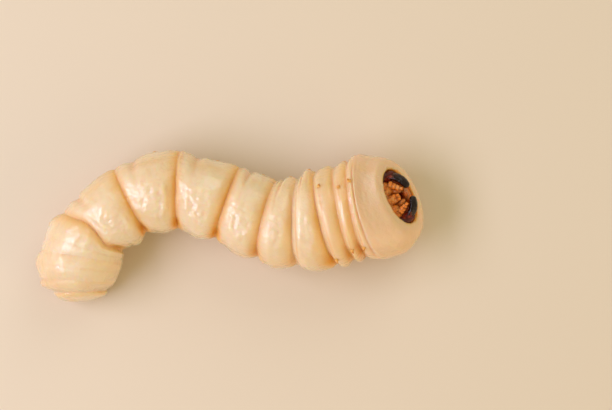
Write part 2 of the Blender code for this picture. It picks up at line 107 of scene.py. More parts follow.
def runOfBody():
    place = np.array((*run["collarPlace"], 0.0))
    centres = [place]
    for part in trunk:
        place = place - heading(part["bearing"]) * part["length"]
        centres.append(place)
    heights = [part["half"][1] for part in trunk]
    heights.append(heights[-1])
    levels = [run["collarHeight"]]
    levels += [(a + b) / 2 - run["floorPress"] for a, b in zip(heights, heights[1:])]
    centres = [np.array((c[0], c[1], level)) for c, level in zip(centres, levels)]
    facings = [heading(part["facing"], part["pitch"]) for part in trunk]
    return centres, [heading(mouth["bearing"], mouth["pitch"]), *facings]


centres, directions = runOfBody()
mouthFrame = ringFrame(np.array(mouth["place"]), directions[0])
# Distance of each part's rear furrow from the tail tip.
partStarts = [sum(part["length"] for part in trunk[index + 1:]) for index in range(len(trunk))]


def betweenFaces(index, u):
    length = trunk[index]["length"]
    return min(1.0, max(0.0, (u * length - run["gap"] / 2) / (length - run["gap"])))


# The frame at share u of a part, 0 at the furrow behind it and 1 at the furrow in front.
def trunkFrame(index, u):
    rear, front = centres[index + 1], centres[index]
    length = trunk[index]["length"]
    leave, arrive = directions[index + 1] * length, directions[index] * length
    centre = (
        rear * (2 * u**3 - 3 * u**2 + 1)
        + leave * (u**3 - 2 * u**2 + u)
        + front * (3 * u**2 - 2 * u**3)
        + arrive * (u**3 - u**2)
    )
    share = betweenFaces(index, u)
    placed = ringFrame(centre, directions[index + 1] * (1 - share) + directions[index] * share)
    return (centre + placed[2] * trunk[index]["sway"] * math.sin(math.pi * share), *placed[1:])


def furrowHalfSize(index):
    ahead, behind = trunk[index - 1], trunk[index]
    return np.array([
        share * (front + rear) / 2
        for share, front, rear in zip(ahead["furrow"], ahead["half"], behind["half"])
    ])


def bell(distance, spread):
    return np.exp(-((distance / spread) ** 2))


def mix(a, b, share):
    return a + (b - a) * share


def smoothStep(value):
    value = np.clip(value, 0, 1)
    return value * value * (3 - 2 * value)


reliefReach = 60.0  # length that a relief covers


# Smooth random relief on a grid that closes round the body.
class Relief:
    def __init__(self, seed, stepAlong, cellsRound):
        self.stepAlong = stepAlong
        self.cellsRound = cellsRound
        rows = int(reliefReach / stepAlong)
        self.grid = np.random.default_rng(seed).uniform(-1, 1, (rows, cellsRound))

    def at(self, along, angle):
        row = along / self.stepAlong
        low = int(row)
        part = smoothStep(row - low)
        column = (angle / (2 * np.pi) % 1.0) * self.cellsRound
        left = np.floor(column).astype(int) % self.cellsRound
        across = smoothStep(column - np.floor(column))
        rightward = (left + 1) % self.cellsRound
        near = mix(self.grid[low, left], self.grid[low, rightward], across)
        far = mix(self.grid[low + 1, left], self.grid[low + 1, rightward], across)
        return mix(near, far, part)


skin = {
    "ringStep": 0.073,
    "sides": 236,
    "crowd": 0.45,  # how much closer the rings stand near a furrow
    "fewest": 6,
    "peak": 0.56,  # where the belly of a lobe stands highest, and how it falls off behind and ahead of that
    "falls": (2.1, 2.9),
    "noFurrow": 9.0,  # distance to a furrow where there is none
    "shadeLine": (0.28, 0.10, 0.060),  # half width of the painted shade tint and of the cut at a furrow, depth of the cut
    # the same sizes for the furrows of the thorax, with their painted shade tint
    "thoraxLine": (0.15, 0.25, 0.125),
    "tint": (0.62, 0.45, 0.2),  # strength of the painted shade along a furrow, more where it gapes, less on the right flank
    "tailTint": (0.3, 0.8),  # strength of the painted shade along the furrows of the tail, more to the right
    "wedge": (-66.0, 20.0, 0.30, 0.20),  # furrows gape on the left flank: degrees, spread, depth, half width
    "valleyShade": (0.55, 0.32),  # half width of the painted shade tints ahead of and behind a furrow
    "valleyLeast": 0.1,
    "flankFold": (0.3, 0.075, 0.19, 40.0),  # place, width, depth, degrees round from the flank
    "flankShares": (0.35, 0.65),  # of that fold on both flanks, more on the right
    "flankTint": (1.5, 0.45, 0.5),  # width of its painted shade tint, strength and width of its narrow painted shade stripe
    # how the first furrow of the tail winds: place, width, shift
    "bow": ((0.25, 0.40, 0.28), (-0.55, 0.25, -0.26)),
    "bowReach": 0.7,
    "calm": (0.8, 1.5),  # how far the last lobes are smoothed on the inside of the curl, and how soon
    "cleft": (8.0, 0.12, 0.12, 0.28),  # three clefts of the tail tip: degrees, depth, place, reach
    "cleftLine": (0.7, 0.1, 0.25),  # painted shade along the clefts: strength, place, reach
    "sidePad": (100.0, 20.0, 0.10),  # degrees from the belly, spread, rise
    "sideGrooves": ((66.0, 13.0, 0.045), (134.0, 10.0, 0.10)),
    "grooveTint": (0.35, 0.6),  # painted shade in the grooves: strength, share of the groove's spread
    "foldWander": 0.012,
    "foldEnd": 5.0,  # degrees in which a fold fades at its end
    "foldTint": (0.5, 0.15),  # strength of the painted shade along a fold, ahead of the tail and on it
    "ampullaMiddle": 0.52,
    "ampullaRound": 29.0,
    "ampullaLong": 0.33,
    "ampullaRise": 0.08,
    "ampullaDip": (0.035, 0.4),  # depth, spread
    "ampullaRidge": (0.8, 0.2),  # place outward, half width
    "ampullaEdge": (0.7, 0.6),  # where the pad ends outward, and how softly
    "ampullaWander": 0.12,
    "ampullaUneven": (0.75, 0.5),
    "padLumps": 0.030,
    "padGrain": 0.014,
    "lumps": 0.045,
    "wrinkles": 0.008,
    "streaks": (0.020, 0.5),  # rise, reach from a furrow
    "rings": 0.024,
    "ringsAhead": 1.5,  # how much stronger they are on the front parts
    "lipRoll": 0.05,
    "lipSteps": 12,
    "lipThickness": 0.2,
    "lipGap": 0.3,
    "lipInner": 0.03,
    "lipBend": (0.8, 1.8),
    "lipWaves": ((0.02, 9, 0), (0.015, 17, 1)),  # height, number round the lip, shift
    "lipSmooth": 0.05,  # nearer the mouth than this there are no waves
    "socket": 0.02,
    "socketDepths": (0.12, 0.3, 0.6, 1.05),
    "legRise": 0.05,
    "legSpread": 0.20,
    "legGirth": 3.0,
    "legSwell": (0.75, 0.9),  # reach of the swelling and of its blush
}
hairCover = {
    "flank": (95.0, 30.0),  # degrees from the belly, spread
    "body": (0.25, 0.75),  # everywhere, more on the flanks
    "collar": (0.35, 0.65, 0.4),  # everywhere, more towards the mouth, more on the flanks
    "mouthward": (1.6, 0.4),
    "tail": 0.4,
    "floor": (0.4, 0.5),  # height up to which there is none, and how softly it starts
    "lip": 0.6,
}
lumpRelief = Relief(11, 1.1, 16)
wrinkleRelief = Relief(12, 0.22, 90)
streakRelief = Relief(13, 0.9, 120)
padRelief = Relief(14, 0.30, 64)
grainRelief = Relief(15, 0.16, 150)
ringRelief = Relief(16, 0.24, 20)

# Folds that only the skin has.
# part, share of its length, depth, widths behind and ahead, degrees round from the belly
folds = [
    (0, 0.280, 0.115, 0.030, 0.065, 60.0),
    (0, 0.115, 0.03, 0.025, 0.035, 50.0),
    (1, 0.40, 0.035, 0.05, 0.09, 48.0),
    (2, 0.32, 0.02, 0.05, 0.08, 50.0),
    (3, 0.16, 0.02, 0.04, 0.04, 50.0),
    (9, 0.30, 0.02, 0.05, 0.05, 70.0),
    (10, 0.48, 0.02, 0.06, 0.06, 60.0),
]

# Leg roots: word, part, share of its length, degrees from the middle of the belly.
legRoots = [("fore", 0, 0.13, 41.0), ("mid", 1, 0.40, 40.0), ("hind", 2, 0.32, 49.0)]


def rollOf(index):
    return run["roll"][0 if index < firstAbdomen else 1]


def degreesFromBelly(angle, index):
    return np.abs((np.degrees(angle) + rollOf(index) + 180) % 360 - 180)


def angleAt(index, side, offBelly):
    return math.radians(side * offBelly - rollOf(index))


# How full a lobe is at share u: soft on the belly and the back, rounder on the flanks.
def lobeFullness(index, u, flank):
    behind, ahead = skin["falls"]
    if u < skin["peak"]:
        belly = 1 - (1 - u / skin["peak"]) ** behind
    else:
        belly = 1 - ((u - skin["peak"]) / (1 - skin["peak"])) ** ahead
    side = abs(math.sin(math.pi * betweenFaces(index, u) ** run["skew"])) ** run["plump"]
    return mix(belly, side, flank)


# Half sizes at share u of a part, for all directions round it, and what the material reads there, painted
# shade in and beside the furrows among it.
def skinSize(index, u, angle):
    part = trunk[index]
    along = partStarts[index] + u * part["length"]
    off = degreesFromBelly(angle, index)
    flank = np.sin(np.radians(off)) ** 3
    onRight = np.sin(angle) > 0
    none = np.zeros_like(angle)
    rise = np.zeros_like(angle)
    behind = u * part["length"]
    ahead = (1 - u) * part["length"] if index > 0 else skin["noFurrow"]
    near = min(behind, ahead)
    sharp = part["fold"] if behind <= ahead else trunk[index - 1]["fold"]
    middle, spread, gape, gapeWidth = skin["wedge"]
    wedge = bell(np.degrees(np.arctan2(np.sin(angle), np.cos(angle))) - middle, spread)
    onThorax = index < firstAbdomen or index == firstAbdomen and behind <= ahead
    tintWidth, cutWidth, cutDepth = skin["thoraxLine" if onThorax else "shadeLine"]
    tint, tintGaping, tintLess = skin["tint"]
    # Painted shade: an orange tint along each furrow, stronger where the furrow gapes.
    shadeLine = sharp * bell(near, tintWidth * (1 + wedge)) * (tint + tintGaping * wedge)
    shadeLine = shadeLine * (1 - tintLess * flank * onRight)
    cut = sharp * (cutDepth * bell(near, cutWidth) + gape * wedge * bell(near, gapeWidth))
    marks = {
        # Painted shade on the slope ahead of each furrow, and just behind it.
        "valleyShade": bell(ahead, skin["valleyShade"][0]) * min(1.0, skin["valleyLeast"] + sharp) + none,
        "peachShadeAndSpecks": bell(behind, skin["valleyShade"][1]) * sharp + none,
        "blush": none,
    }
    if index == 0:
        front = np.array(mouth["halfSize"]) + skin["lipGap"] + skin["lipThickness"]
        dome = math.sqrt(max(0.0, 1 - u ** run["domeRound"]))
        swell = math.sin(math.pi * min(1.0, u / run["domeSwell"]) / 2) ** run["plump"]
        base = mix(front, mix(furrowHalfSize(1), np.array(part["half"]), swell), dome)
        full = swell * dome + none
        size = base[:, None] + none
    elif index == lastPart:
        dome = math.sqrt(max(0.0, 1 - (1 - u) ** run["tailRound"]))
        full = run["tailFull"] * dome + none
        size = (furrowHalfSize(index) * dome)[:, None] + none
        shadeLine = shadeLine * (u > 0.5)
        cut = cut * (u > 0.5)
        width, depth, place, reach = skin["cleft"]
        cleft = bell((np.degrees(angle) + 30) % 120 - 60, width)
        rise -= depth * cleft * bell(u - place, reach)
        # Painted shade along the three clefts of the tail tip.
        strength, place, reach = skin["cleftLine"]
        shadeLine = np.maximum(shadeLine, strength * cleft * bell(u - place, reach))
    else:
        base = mix(furrowHalfSize(index + 1), furrowHalfSize(index), u)
        full = lobeFullness(index, u, flank)
        if index >= firstTail:
            calm, soon = skin["calm"]
            full = full * (1 - calm * smoothStep(-np.sin(angle) * soon))
        size = np.stack([base[k] + (part["half"][k] - base[k]) * full for k in (0, 1)])
    if firstAbdomen <= index < firstTail:
        place, width, depth, reach = skin["flankFold"]
        both, right = skin["flankShares"]
        tintWidth, lineTint, lineWidth = skin["flankTint"]
        fold = bell(off - 90, reach) * (both + right * onRight)
        rise -= depth * fold * bell(u - place, width)
        # Painted shade along the flank fold, as a broad tint and a narrow stripe.
        marks["peachShadeAndSpecks"] = np.maximum(marks["peachShadeAndSpecks"], fold * bell(u - place, width * tintWidth))
        shadeLine = np.maximum(shadeLine, lineTint * fold * bell(u - place, width * lineWidth))
    if index >= firstTail:
        least, more = skin["tailTint"]
        shadeLine = shadeLine * smoothStep(least + more * np.sin(angle))
    middle, spread, height = skin["sidePad"]
    rise += height * bell(off - middle, spread) * full
    tint, narrower = skin["grooveTint"]
    for middle, spread, depth in skin["sideGrooves"]:
        rise -= depth * bell(off - middle, spread) * full
        # Painted shade in the side grooves.
        marks["valleyShade"] = np.maximum(marks["valleyShade"], tint * bell(off - middle, spread * narrower) * full)
    if firstAbdomen <= index <= firstTail:
        ridge, pad = ampulla(u, along, angle, off)
        dip, dipSpread = skin["ampullaDip"]
        rise += (skin["ampullaRise"] * ridge - dip * bell(1 - pad, dipSpread)) * full
        rise += skin["padLumps"] * padRelief.at(along, angle) * pad
        rise += skin["padGrain"] * grainRelief.at(along, angle) * pad
    for place, at, depth, widthBehind, widthAhead, reach in folds:
        if place == index:
            past = u - at - skin["foldWander"] * lumpRelief.at(along + 3, angle)
            fold = bell(past, np.where(past > 0, widthAhead, widthBehind))
            fold = fold / (1 + np.exp((off - reach) / skin["foldEnd"]))
            rise -= depth * fold
            # Painted shade along the fold.
            shadeLine = np.maximum(shadeLine, skin["foldTint"][index >= firstTail] * fold * bell(past, widthBehind))
    swelling, blush = skin["legSwell"]
    for word, place, at, offBelly in legRoots:
        if place == index:
            for side in (1, -1):
                aside = (angle - angleAt(index, side, offBelly) + np.pi) % (2 * np.pi) - np.pi
                away = np.hypot(aside * skin["legGirth"], (u - at) * part["length"]) / skin["legSpread"]
                rise += skin["legRise"] * bell(away, swelling)
                marks["blush"] = np.maximum(marks["blush"], bell(away, blush))
    rise += skin["lumps"] * lumpRelief.at(along, angle) * full
    rise += skin["wrinkles"] * wrinkleRelief.at(along, angle)
    ringStrength = skin["ringsAhead"] if index <= firstAbdomen else 1.0
    rise += skin["rings"] * ringStrength * ringRelief.at(along, angle)
    streaks, reach = skin["streaks"]
    rise += streaks * streakRelief.at(along, angle) * bell(near, reach)
    marks["shadeLine"] = shadeLine
    return size + rise - cut, marks


# A walking pad: an uneven oval ridge round a shallow dip.
def ampulla(u, along, angle, off):
    aside = np.minimum(off, 180 - off) / skin["ampullaRound"]
    ahead = (u - skin["ampullaMiddle"]) / skin["ampullaLong"]
    out = np.hypot(aside, ahead) + skin["ampullaWander"] * lumpRelief.at(along + 5, angle)
    place, width = skin["ampullaRidge"]
    height, uneven = skin["ampullaUneven"]
    ridge = bell(out - place, width) * (height + uneven * lumpRelief.at(along * 2 + 2, angle))
    edge, soft = skin["ampullaEdge"]
    return ridge, 1 - smoothStep((out - edge) / soft)


def onRing(placed, size, angle):
    centre, _, right, belly = placed
    points = (
        centre[None, :]
        + right[None, :] * (size[0] * np.sin(angle))[:, None]
        + belly[None, :] * (size[1] * np.cos(angle))[:, None]
    )
    level = points[:, 2]
    points[:, 2] = (level + np.hypot(level, run["floorSoft"])) / 2  # pressed flat by the floor
    return points


mouthAside = np.array(mouth["place"]) - centres[0]


def skinRing(index, u, angle):
    size, marks = skinSize(index, u, angle)
    points = onRing(trunkFrame(index, u), size, angle)
    if index == 0:
        points = points + mouthAside * u**4
    if index in (firstTail - 1, firstTail):
        away = (u if index < firstTail else 1 - u) * trunk[index]["length"]
        side = np.sin(angle) * (np.cos(angle) > 0) + np.sign(np.sin(angle)) * (np.cos(angle) <= 0)
        shift = sum(depth * bell(side - place, width) for place, width, depth in skin["bow"])
        points = points + directions[firstTail] * (shift * bell(away, skin["bowReach"]))[:, None]
    return points, marks


# A point of the skin, the way out of it and the way forward along it.
def skinPlace(index, u, angle):
    step = 0.01
    turned = np.array([angle - step, angle, angle + step])
    here = skinRing(index, u, turned)[0]
    along = skinRing(index, u + step, turned)[0][1] - skinRing(index, u - step, turned)[0][1]
    normal = unit(np.cross(along, here[2] - here[0]))
    if np.dot(normal, here[1] - trunkFrame(index, u)[0]) < 0:
        normal = -normal
    return here[1], normal, unit(along)


def stationsOf(part):
    count = max(skin["fewest"], round(part["length"] / skin["ringStep"]))
    t = np.arange(count) / count
    return t - skin["crowd"] * np.sin(2 * np.pi * t) / (2 * np.pi)


def lipRing(centre, grow, angle):
    wave = sum(height * np.sin(angle * number + shift) for height, number, shift in skin["lipWaves"])
    wave = wave * (grow > skin["lipSmooth"])
    size = np.stack([np.full_like(angle, half + grow) for half in mouth["halfSize"]])
    return onRing((centre, *mouthFrame[1:]), size + wave, angle)


# All rings of the skin, from the tail tip to the inside of the collar, and what its materials and hairs read.
def skinRings():
    angle = 2 * np.pi * np.arange(skin["sides"]) / skin["sides"]
    keys = ("shadeLine", "valleyShade", "peachShadeAndSpecks", "blush", "front", "hairs")
    rings, lays, marks = [], [], {key: [] for key in keys}
    total = partStarts[0] + trunk[0]["length"]

    def add(points, forward, values):
        rings.append(points)
        lays.append(-forward)
        for key in keys:
            marks[key].append(values.get(key, 0.0))

    for index in range(lastPart, -1, -1):
        part = trunk[index]
        flank = bell(degreesFromBelly(angle, index) - hairCover["flank"][0], hairCover["flank"][1])
        for u in stationsOf(part):
            if index == lastPart and u < 0.01:
                continue
            points, values = skinRing(index, u, angle)
            least, sideways = hairCover["body"]
            hairs = least + sideways * flank
            if index == 0:
                least, towards, sideways = hairCover["collar"]
                quick, late = hairCover["mouthward"]
                hairs = least + towards * smoothStep(u * quick - late) + sideways * flank
            if index >= firstTail:
                hairs = hairs + hairCover["tail"]
            low, soft = hairCover["floor"]
            hairs = hairs * np.clip(1 - values["shadeLine"], 0, 1) * smoothStep((points[:, 2] - low) / soft)
            values["hairs"] = hairs
            values["front"] = (partStarts[index] + u * part["length"]) / total
            add(points, trunkFrame(index, u)[1], values)
    centre, forward = mouthFrame[0], mouthFrame[1]
    outer = skin["lipGap"] + skin["lipThickness"]
    narrowing, rolling = skin["lipBend"]
    for share in np.linspace(0, 1, skin["lipSteps"]):
        grow = mix(outer, skin["lipInner"], share**narrowing)
        ahead = skin["lipRoll"] * math.sin(math.pi * share**rolling)
        # The lip is tinted darker towards the mouth: painted shade going into the opening.
        values = {"shadeLine": share**3, "front": 1.0, "hairs": hairCover["lip"] * (share < 0.5)}
        add(lipRing(centre + forward * ahead, grow, angle), -forward, values)
    for depth in skin["socketDepths"]:
        # The socket walls are tinted fully: painted shade inside the opening.
        ring = lipRing(centre - forward * depth, skin["socket"], angle)
        add(ring, -forward, {"shadeLine": 1.0, "front": 1.0})
    return rings, lays, marks


def newObject(name, mesh):
    made = bpy.data.objects.new(name, mesh)
    bpy.context.scene.collection.objects.link(made)
    return made


# A closed surface over rings of points, with a pole at each end.
# marks: values for each ring; lays: the way hair lies at each ring.
def meshOfRings(name, rings, marks, lays):
    sides, rows = len(rings[0]), len(rings)
    points = np.concatenate(rings)
    poles = np.array([rings[0].mean(0), rings[-1].mean(0)])
    vertices = np.concatenate([points, poles]) * mm
    faces, unwrap = [], []
    for row in range(rows - 1):
        near, far = row * sides, (row + 1) * sides
        low, high = (row + 0.5) / rows, (row + 1.5) / rows
        for side in range(sides):
            after = (side + 1) % sides
            faces.append((near + side, near + after, far + after, far + side))
            left, right = side / sides, (side + 1) / sides
            unwrap += [(left, low), (right, low), (right, high), (left, high)]
    lowPole, highPole = len(points), len(points) + 1
    last = (rows - 1) * sides
    for side in range(sides):
        after = (side + 1) % sides
        left, right = side / sides, (side + 1) / sides
        faces.append((lowPole, after, side))
        unwrap += [((left + right) / 2, 0), (right, 0.5 / rows), (left, 0.5 / rows)]
        faces.append((highPole, last + side, last + after))
        unwrap += [((left + right) / 2, 1), (left, 1 - 0.5 / rows), (right, 1 - 0.5 / rows)]
    mesh = bpy.data.meshes.new(name)
    mesh.from_pydata(vertices.tolist(), [], faces)
    mesh.uv_layers.new(name="unwrap").data.foreach_set("uv", np.array(unwrap, np.float32).ravel())
    for key, values in marks.items():
        spread = [np.broadcast_to(np.asarray(value, float), (sides,)) for value in values]
        flat = np.concatenate([*spread, [spread[0].mean(), spread[-1].mean()]])
        mesh.attributes.new(key, "FLOAT", "POINT").data.foreach_set("value", flat.astype(np.float32))
    laid = np.concatenate([np.repeat(np.array(lays), sides, axis=0), [lays[0], lays[-1]]])
    laid = laid.astype(np.float32).ravel()
    mesh.attributes.new("lay", "FLOAT_VECTOR", "POINT").data.foreach_set("vector", laid)
    mesh.update()
    shape = bmesh.new()
    shape.from_mesh(mesh)
    bmesh.ops.recalc_face_normals(shape, faces=shape.faces)
    shape.to_mesh(mesh)
    shape.free()
    mesh.shade_smooth()
    return newObject(name, mesh)


def joined(name, pieces):
    shape = bmesh.new()
    for piece in pieces:
        shape.from_mesh(piece.data)
    mesh = bpy.data.meshes.new(name)
    shape.to_mesh(mesh)
    shape.free()
    mesh.shade_smooth()
    for piece in pieces:
        bpy.data.objects.remove(piece)
    return newObject(name, mesh)


# Materials

# Skin, horn and hair share this group: a fine grain, and the patches where it passes a limit.
def patchGroup():
    group = bpy.data.node_groups.new("patches", "ShaderNodeTree")
    start, end = group.nodes.new("NodeGroupInput"), group.nodes.new("NodeGroupOutput")
    grain, patches = group.nodes.new("ShaderNodeTexNoise"), group.nodes.new("ShaderNodeMapRange")
    inputs = [(grain, ("Vector", "Scale", "Detail", "Roughness"))]
    inputs += [(patches, ("From Min", "From Max", "To Min", "To Max"))]
    outputs = {"Grain": grain.outputs["Fac"], "Patches": patches.outputs["Result"]}
    for node, keys in inputs:
        for key in keys:
            kind = "NodeSocketVector" if key == "Vector" else "NodeSocketFloat"
            group.interface.new_socket(key, in_out="INPUT", socket_type=kind)
            group.links.new(start.outputs[key], node.inputs[key])
    group.links.new(grain.outputs["Fac"], patches.inputs["Value"])
    for key, value in outputs.items():
        group.interface.new_socket(key, in_out="OUTPUT", socket_type="NodeSocketFloat")
        group.links.new(value, end.inputs[key])
    return group


patchNodes = patchGroup()


class Look:
    def __init__(self, name):
        self.material = bpy.data.materials.new(name)
        self.material.use_nodes = True
        self.nodes = self.material.node_tree.nodes
        self.links = self.material.node_tree.links
        self.shader = self.nodes["Principled BSDF"]
        self.place = self.nodes.new("ShaderNodeTexCoord").outputs["Object"]

    def set(self, **values):
        for key, value in values.items():
            self.shader.inputs[key.replace("_", " ")].default_value = value

    def textured(self, made, size, detail, roughness=0.5):
        made.inputs["Scale"].default_value = 1 / (size * mm)
        made.inputs["Detail"].default_value = detail
        made.inputs["Roughness"].default_value = roughness
        self.links.new(self.place, made.inputs["Vector"])
        return made

    def group(self):
        made = self.nodes.new("ShaderNodeGroup")
        made.node_tree = patchNodes
        return made

    def patches(self, size, detail, low, high, to=(0.0, 1.0), roughness=0.5):
        made = self.textured(self.group(), size, detail, roughness)
        for key, value in (("From Min", low), ("From Max", high), ("To Min", to[0]), ("To Max", to[1])):
            made.inputs[key].default_value = value
        return made.outputs["Patches"]

    def grain(self, size, detail, roughness=0.5):
        return self.textured(self.group(), size, detail, roughness).outputs["Grain"]

    def noise(self, size, detail):
        return self.textured(self.nodes.new("ShaderNodeTexNoise"), size, detail).outputs["Fac"]

    def mark(self, name):
        made = self.nodes.new("ShaderNodeAttribute")
        made.attribute_name = name
        return made.outputs["Fac"]

    def spread(self, value, low, high, to=(0.0, 1.0)):
        made = self.nodes.new("ShaderNodeMapRange")
        self.links.new(value, made.inputs["Value"])
        made.inputs["From Min"].default_value = low
        made.inputs["From Max"].default_value = high
        made.inputs["To Min"].default_value = to[0]
        made.inputs["To Max"].default_value = to[1]
        return made.outputs["Result"]

    def math(self, kind, a, b):
        made = self.nodes.new("ShaderNodeMath")
        made.operation = kind
        for socket, value in zip(made.inputs, (a, b)):
            if isinstance(value, (int, float)):
                socket.default_value = value
            else:
                self.links.new(value, socket)
        return made.outputs["Value"]

    def blend(self, share, a, b):
        made = self.nodes.new("ShaderNodeMix")
        made.data_type = "RGBA"
        self.links.new(share, made.inputs["Factor"])
        for key, value in (("A", a), ("B", b)):
            if isinstance(value, tuple):
                made.inputs[key].default_value = (*value, 1.0)
            else:
                self.links.new(value, made.inputs[key])
        return made.outputs["Result"]

    def bump(self, height, distance, before=None):
        made = self.nodes.new("ShaderNodeBump")
        made.inputs["Distance"].default_value = distance * mm
        self.links.new(height, made.inputs["Height"])
        if before is not None:
            self.links.new(before, made.inputs["Normal"])
        return made.outputs["Normal"]

    def feed(self, key, value):
        self.links.new(value, self.shader.inputs[key])


skinLook = {
    "cream": (0.80, 0.59, 0.35),
    "pale": (0.84, 0.67, 0.46),
    "thorax": (0.80, 0.515, 0.30),
    # Painted shade: this furrow colour and the next two tints darken and redden the skin in and beside
    # creases, folds and the mouth's edge; the last of them also colours the random specks.
    "shadeLine": (0.80, 0.36, 0.055),
    "valleyShade": (0.80, 0.47, 0.13),
    "peachShadeAndSpecks": (0.84, 0.53, 0.28),
    "blush": (0.80, 0.36, 0.07),
    "strengths": {"valleyShade": 0.95, "peachShadeAndSpecks": 0.45, "shadeLine": 1.0, "blush": 0.7},
    "thoraxFrom": (0.80, 0.92),  # share of the body's length from the tail
    "thoraxStrength": 0.85,
    "cloud": (2.2, 4, 0.35, 0.65),  # patches, like the next two: size, detail, limits, range
    "speckle": (0.12, 2, 0.52, 0.75, (0.0, 0.22)),
    "gloss": (0.5, 3, 0.3, 0.7, (0.46, 0.62)),
    "bare": (0.25, 0.9, (1.0, 0.1)),  # where the painted shade mark of a furrow also takes the gloss away
    "relief": ((0.3, 2, 0.5, 0.03), (0.11, 3, 0.6, 0.012)),  # size, detail, roughness, height
    "wetRelief": ((0.34, 2, 0.05), (0.16, 2, 0.030), (0.07, 2, 0.005)),  # size, detail, height
}


def skinMaterial():
    look = Look("larvaSkin")
    flesh = look.blend(look.patches(*skinLook["cloud"]), skinLook["cream"], skinLook["pale"])
    front = look.spread(look.mark("front"), *skinLook["thoraxFrom"])
    flesh = look.blend(look.math("MULTIPLY", front, skinLook["thoraxStrength"]), flesh, skinLook["thorax"])
    # The painted shade of the furrow marks, and the blush round the legs, are laid over the flesh here.
    for key, strength in skinLook["strengths"].items():
        flesh = look.blend(look.math("MULTIPLY", look.mark(key), strength), flesh, skinLook[key])
    look.feed("Base Color", look.blend(look.patches(*skinLook["speckle"]), flesh, skinLook["peachShadeAndSpecks"]))
    look.set(Subsurface_Weight=1.0, Subsurface_Scale=0.0007, Subsurface_Radius=(1.0, 0.55, 0.26))
    look.set(Coat_Roughness=0.13, Coat_IOR=1.5)
    bare = look.spread(look.mark("shadeLine"), *skinLook["bare"])
    look.feed("Specular IOR Level", bare)
    look.feed("Coat Weight", bare)
    look.feed("Roughness", look.patches(*skinLook["gloss"]))
    normal = wet = None
    for size, detail, roughness, height in skinLook["relief"]:
        normal = look.bump(look.grain(size, detail, roughness), height, normal)
    for size, detail, height in skinLook["wetRelief"]:
        wet = look.bump(look.noise(size, detail), height, wet)
    look.feed("Normal", normal)
    look.feed("Coat Normal", wet)
    return look.material


def makeSkin():
    rings, lays, marks = skinRings()
    piece = meshOfRings("skin", rings, marks, lays)
    piece.data.materials.append(skinMaterial())
    print("skin:", len(piece.data.polygons), "faces")
    return piece


skinPiece = makeSkin()


# The head: x to the larva's right, y to its belly, z out of the mouth, from the plane of the lip.
def fromHead(points):
    return mouthFrame[0] + np.asarray(points, float) @ np.array([mouthFrame[2], mouthFrame[3], mouthFrame[1]])


def headMesh(name, rings, marks):
    return meshOfRings(name, [fromHead(ring) for ring in rings], marks, [mouthFrame[1]] * len(rings))


# Rings round a path; each size is a pair of half sizes, the second in the direction of edge.
def sweep(path, sizes, sides, edge=(0.0, 1.0, 0.0)):
    path = np.asarray(path, float)
    angle = 2 * np.pi * np.arange(sides) / sides
    rings = []
    for point, way, size in zip(path, np.gradient(path, axis=0), sizes):
        way = unit(way)
        across = unit(np.cross(np.asarray(edge, float), way))
        other = np.cross(way, across)
        rings.append(
            point
            + across * (size[0] * np.cos(angle))[:, None]
            + other * (size[1] * np.sin(angle))[:, None]
        )
    return rings


def curve(start, bow, end, count):
    t = np.linspace(0, 1, count)[:, None]
    start, bow, end = (np.asarray(place, float) for place in (start, bow, end))
    return start * (1 - t) ** 2 + bow * 2 * t * (1 - t) + end * t**2


headShell = {
    "rim": 0.985,  # share of the mouth's half size
    "plate": -0.50,
    "depths": (0.3, 0.6, 0.8, 0.95),
    "cheekRise": 0.80,
    "cheekSpread": 40.0,
    "rimRise": 0.44,
    "cheekFrom": (0.52, 0.34),  # share outward where it starts, and how softly
    "cheekFall": (0.9, 0.1, 0.45),  # the same for where it falls, and how far
    "rimFrom": (0.86, 0.12),
    "ripple": 0.03,
    "tone": (1.6, 0.35),
    "rounds": 30,
    "sides": 96,
}


def makeHeadShell():
    angle = 2 * np.pi * np.arange(headShell["sides"]) / headShell["sides"]
    offCheek = np.degrees(np.arccos(np.clip(np.abs(np.sin(angle)), 0, 1)))
    cheek = headShell["cheekRise"] * bell(offCheek, headShell["cheekSpread"]) ** 2
    size = np.array(mouth["halfSize"]) * headShell["rim"]
    rings, tones = [], []

    def add(share, rise, tone):
        rings.append(np.stack([size[0] * share * np.sin(angle), size[1] * share * np.cos(angle), rise], 1))
        tones.append(tone)

    def step(share, limits):
        return smoothStep((share - limits[0]) / limits[1])

    for share in np.linspace(0.04, 1.0, headShell["rounds"]):
        section = step(share, headShell["cheekFrom"])
        section = section * (1 - headShell["cheekFall"][2] * step(share, headShell["cheekFall"]))
        rim = headShell["rimRise"] * step(share, headShell["rimFrom"])
        rise = np.maximum(cheek * section, rim) + headShell["ripple"] * np.sin(angle * 3) * share
        quick, late = headShell["tone"]
        add(share, headShell["plate"] + rise, smoothStep(np.abs(np.sin(angle)) * share * quick - late))
    for depth in headShell["depths"]:
        add(1.0, 0 * angle - depth, 1 + 0 * angle)
    return headMesh("headShell", rings, {"tone": tones})


mandible = {
    "root": (1.38, 0.16, -0.42),
    "bow": (1.50, -0.12, 0.62),
    "tip": (0.30, -0.32, 0.66),
    "half": (0.26, 0.38),
    "tipShare": 0.55,
    "taper": 2.2,
    "end": (0.93, 0.075),  # where the tip rounds off, and how softly
    "grooves": ((0.30, 0.03, 0.06), (0.62, 0.025, 0.05)),  # place, width, depth
    "tone": (1.6, 1.5),
    "steps": 34,
    "sides": 40,
}


